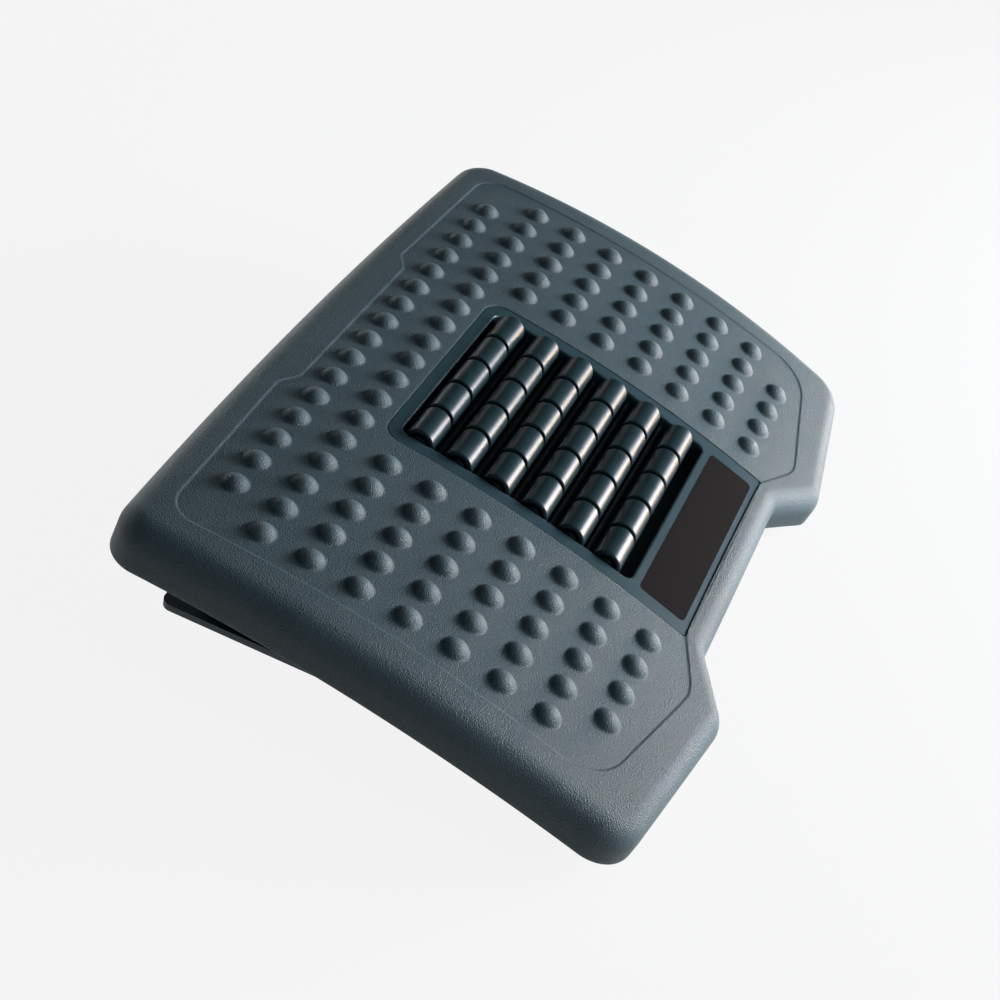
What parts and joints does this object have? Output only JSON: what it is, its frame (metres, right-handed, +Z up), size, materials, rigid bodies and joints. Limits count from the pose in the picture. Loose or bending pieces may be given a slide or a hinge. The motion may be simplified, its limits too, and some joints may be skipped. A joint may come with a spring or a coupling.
{
  "type": "ergonomic footrest",
  "caption": "Rocking office footrest: a crowned moulded platform with massage domes and a cassette of free-turning rollers, hinged on a flat base.",
  "frame": {"origin": "on the floor, in the middle of the space that the footrest takes up at rest", "axes": "+X to the user's right, along the rocking axis; +Y away from the user, to the raised back edge; +Z up"},
  "size_m": [0.45, 0.3012, 0.0957],
  "materials": {
    "platform_plastic": "fine moulded grain",
    "bezel_plastic": "smooth satin moulding",
    "plate_film": "flat black film",
    "roller_plastic": "polished, lightly scratched",
    "axle_steel": "drawn rod",
    "bracket_nylon": "glass-filled moulding",
    "bush_nylon": "natural",
    "hinge_steel": "zinc plated",
    "screw_steel": "zinc plated",
    "washer_fibre": "red fibre",
    "base_plastic": "moulded, dark",
    "rubber": "soft, matt"
  },
  "bodies": {
    "base": {"base_tray": "base_plastic", "pivot_bolt_left": "hinge_steel", "pivot_bolt_right": "hinge_steel", "lock_nuts": "hinge_steel", "disc_springs": "hinge_steel", "friction_washers": "washer_fibre", "front_stop_bumpers": "rubber", "rear_stop_bumpers": "rubber", "rubber_foot_front_left": "rubber", "rubber_foot_front_right": "rubber", "rubber_foot_rear_left": "rubber", "rubber_foot_rear_right": "rubber"},
    "platform": {"platform_shell": "platform_plastic", "roller_frame": "bezel_plastic", "roller_pan": "bezel_plastic", "name_plate": "plate_film", "roller_axle_1": "axle_steel", "roller_axle_2": "axle_steel", "roller_axle_3": "axle_steel", "roller_axle_4": "axle_steel", "roller_axle_5": "axle_steel", "roller_axle_6": "axle_steel", "pivot_bracket_left": "bracket_nylon", "pivot_bracket_right": "bracket_nylon", "pivot_bush_left": "bush_nylon", "pivot_bush_right": "bush_nylon", "pan_screws": "screw_steel", "bracket_screws": "screw_steel"},
    "roller_1_1_body": {"roller_1_1": "roller_plastic"},
    "roller_1_2_body": {"roller_1_2": "roller_plastic"},
    "roller_1_3_body": {"roller_1_3": "roller_plastic"},
    "roller_1_4_body": {"roller_1_4": "roller_plastic"},
    "roller_1_5_body": {"roller_1_5": "roller_plastic"},
    "roller_2_1_body": {"roller_2_1": "roller_plastic"},
    "roller_2_2_body": {"roller_2_2": "roller_plastic"},
    "roller_2_3_body": {"roller_2_3": "roller_plastic"},
    "roller_2_4_body": {"roller_2_4": "roller_plastic"},
    "roller_2_5_body": {"roller_2_5": "roller_plastic"},
    "roller_3_1_body": {"roller_3_1": "roller_plastic"},
    "roller_3_2_body": {"roller_3_2": "roller_plastic"},
    "roller_3_3_body": {"roller_3_3": "roller_plastic"},
    "roller_3_4_body": {"roller_3_4": "roller_plastic"},
    "roller_3_5_body": {"roller_3_5": "roller_plastic"},
    "roller_4_1_body": {"roller_4_1": "roller_plastic"},
    "roller_4_2_body": {"roller_4_2": "roller_plastic"},
    "roller_4_3_body": {"roller_4_3": "roller_plastic"},
    "roller_4_4_body": {"roller_4_4": "roller_plastic"},
    "roller_4_5_body": {"roller_4_5": "roller_plastic"},
    "roller_5_1_body": {"roller_5_1": "roller_plastic"},
    "roller_5_2_body": {"roller_5_2": "roller_plastic"},
    "roller_5_3_body": {"roller_5_3": "roller_plastic"},
    "roller_5_4_body": {"roller_5_4": "roller_plastic"},
    "roller_5_5_body": {"roller_5_5": "roller_plastic"},
    "roller_6_1_body": {"roller_6_1": "roller_plastic"},
    "roller_6_2_body": {"roller_6_2": "roller_plastic"},
    "roller_6_3_body": {"roller_6_3": "roller_plastic"},
    "roller_6_4_body": {"roller_6_4": "roller_plastic"},
    "roller_6_5_body": {"roller_6_5": "roller_plastic"}
  },
  "joints": [
    {"name": "platform_tilt", "type": "hinge", "parent": "base", "child": "platform", "pos_m": [0, 0.00855, 0.04385], "axis": [-1, 0, 0], "range_deg": [0, 17]},
    {"name": "roller_1_1_spin", "type": "hinge", "parent": "platform", "child": "roller_1_1_body", "pos_m": [-0.0544, 0.04922, 0.08138], "axis": [1, 0, 0], "continuous": true},
    {"name": "roller_1_2_spin", "type": "hinge", "parent": "platform", "child": "roller_1_2_body", "pos_m": [-0.0272, 0.04922, 0.08138], "axis": [1, 0, 0], "continuous": true},
    {"name": "roller_1_3_spin", "type": "hinge", "parent": "platform", "child": "roller_1_3_body", "pos_m": [0, 0.04922, 0.08138], "axis": [1, 0, 0], "continuous": true},
    {"name": "roller_1_4_spin", "type": "hinge", "parent": "platform", "child": "roller_1_4_body", "pos_m": [0.0272, 0.04922, 0.08138], "axis": [1, 0, 0], "continuous": true},
    {"name": "roller_1_5_spin", "type": "hinge", "parent": "platform", "child": "roller_1_5_body", "pos_m": [0.0544, 0.04922, 0.08138], "axis": [1, 0, 0], "continuous": true},
    {"name": "roller_2_1_spin", "type": "hinge", "parent": "platform", "child": "roller_2_1_body", "pos_m": [-0.0544, 0.02666, 0.07767], "axis": [1, 0, 0], "continuous": true},
    {"name": "roller_2_2_spin", "type": "hinge", "parent": "platform", "child": "roller_2_2_body", "pos_m": [-0.0272, 0.02666, 0.07767], "axis": [1, 0, 0], "continuous": true},
    {"name": "roller_2_3_spin", "type": "hinge", "parent": "platform", "child": "roller_2_3_body", "pos_m": [0, 0.02666, 0.07767], "axis": [1, 0, 0], "continuous": true},
    {"name": "roller_2_4_spin", "type": "hinge", "parent": "platform", "child": "roller_2_4_body", "pos_m": [0.0272, 0.02666, 0.07767], "axis": [1, 0, 0], "continuous": true},
    {"name": "roller_2_5_spin", "type": "hinge", "parent": "platform", "child": "roller_2_5_body", "pos_m": [0.0544, 0.02666, 0.07767], "axis": [1, 0, 0], "continuous": true},
    {"name": "roller_3_1_spin", "type": "hinge", "parent": "platform", "child": "roller_3_1_body", "pos_m": [-0.0544, 0.00423, 0.07325], "axis": [1, 0, 0], "continuous": true},
    {"name": "roller_3_2_spin", "type": "hinge", "parent": "platform", "child": "roller_3_2_body", "pos_m": [-0.0272, 0.00423, 0.07325], "axis": [1, 0, 0], "continuous": true},
    {"name": "roller_3_3_spin", "type": "hinge", "parent": "platform", "child": "roller_3_3_body", "pos_m": [0, 0.00423, 0.07325], "axis": [1, 0, 0], "continuous": true},
    {"name": "roller_3_4_spin", "type": "hinge", "parent": "platform", "child": "roller_3_4_body", "pos_m": [0.0272, 0.00423, 0.07325], "axis": [1, 0, 0], "continuous": true},
    {"name": "roller_3_5_spin", "type": "hinge", "parent": "platform", "child": "roller_3_5_body", "pos_m": [0.0544, 0.00423, 0.07325], "axis": [1, 0, 0], "continuous": true},
    {"name": "roller_4_1_spin", "type": "hinge", "parent": "platform", "child": "roller_4_1_body", "pos_m": [-0.0544, -0.01806, 0.06814], "axis": [1, 0, 0], "continuous": true},
    {"name": "roller_4_2_spin", "type": "hinge", "parent": "platform", "child": "roller_4_2_body", "pos_m": [-0.0272, -0.01806, 0.06814], "axis": [1, 0, 0], "continuous": true},
    {"name": "roller_4_3_spin", "type": "hinge", "parent": "platform", "child": "roller_4_3_body", "pos_m": [0, -0.01806, 0.06814], "axis": [1, 0, 0], "continuous": true},
    {"name": "roller_4_4_spin", "type": "hinge", "parent": "platform", "child": "roller_4_4_body", "pos_m": [0.0272, -0.01806, 0.06814], "axis": [1, 0, 0], "continuous": true},
    {"name": "roller_4_5_spin", "type": "hinge", "parent": "platform", "child": "roller_4_5_body", "pos_m": [0.0544, -0.01806, 0.06814], "axis": [1, 0, 0], "continuous": true},
    {"name": "roller_5_1_spin", "type": "hinge", "parent": "platform", "child": "roller_5_1_body", "pos_m": [-0.0544, -0.04017, 0.06233], "axis": [1, 0, 0], "continuous": true},
    {"name": "roller_5_2_spin", "type": "hinge", "parent": "platform", "child": "roller_5_2_body", "pos_m": [-0.0272, -0.04017, 0.06233], "axis": [1, 0, 0], "continuous": true},
    {"name": "roller_5_3_spin", "type": "hinge", "parent": "platform", "child": "roller_5_3_body", "pos_m": [0, -0.04017, 0.06233], "axis": [1, 0, 0], "continuous": true},
    {"name": "roller_5_4_spin", "type": "hinge", "parent": "platform", "child": "roller_5_4_body", "pos_m": [0.0272, -0.04017, 0.06233], "axis": [1, 0, 0], "continuous": true},
    {"name": "roller_5_5_spin", "type": "hinge", "parent": "platform", "child": "roller_5_5_body", "pos_m": [0.0544, -0.04017, 0.06233], "axis": [1, 0, 0], "continuous": true},
    {"name": "roller_6_1_spin", "type": "hinge", "parent": "platform", "child": "roller_6_1_body", "pos_m": [-0.0544, -0.06209, 0.05583], "axis": [1, 0, 0], "continuous": true},
    {"name": "roller_6_2_spin", "type": "hinge", "parent": "platform", "child": "roller_6_2_body", "pos_m": [-0.0272, -0.06209, 0.05583], "axis": [1, 0, 0], "continuous": true},
    {"name": "roller_6_3_spin", "type": "hinge", "parent": "platform", "child": "roller_6_3_body", "pos_m": [0, -0.06209, 0.05583], "axis": [1, 0, 0], "continuous": true},
    {"name": "roller_6_4_spin", "type": "hinge", "parent": "platform", "child": "roller_6_4_body", "pos_m": [0.0272, -0.06209, 0.05583], "axis": [1, 0, 0], "continuous": true},
    {"name": "roller_6_5_spin", "type": "hinge", "parent": "platform", "child": "roller_6_5_body", "pos_m": [0.0544, -0.06209, 0.05583], "axis": [1, 0, 0], "continuous": true}
  ]
}
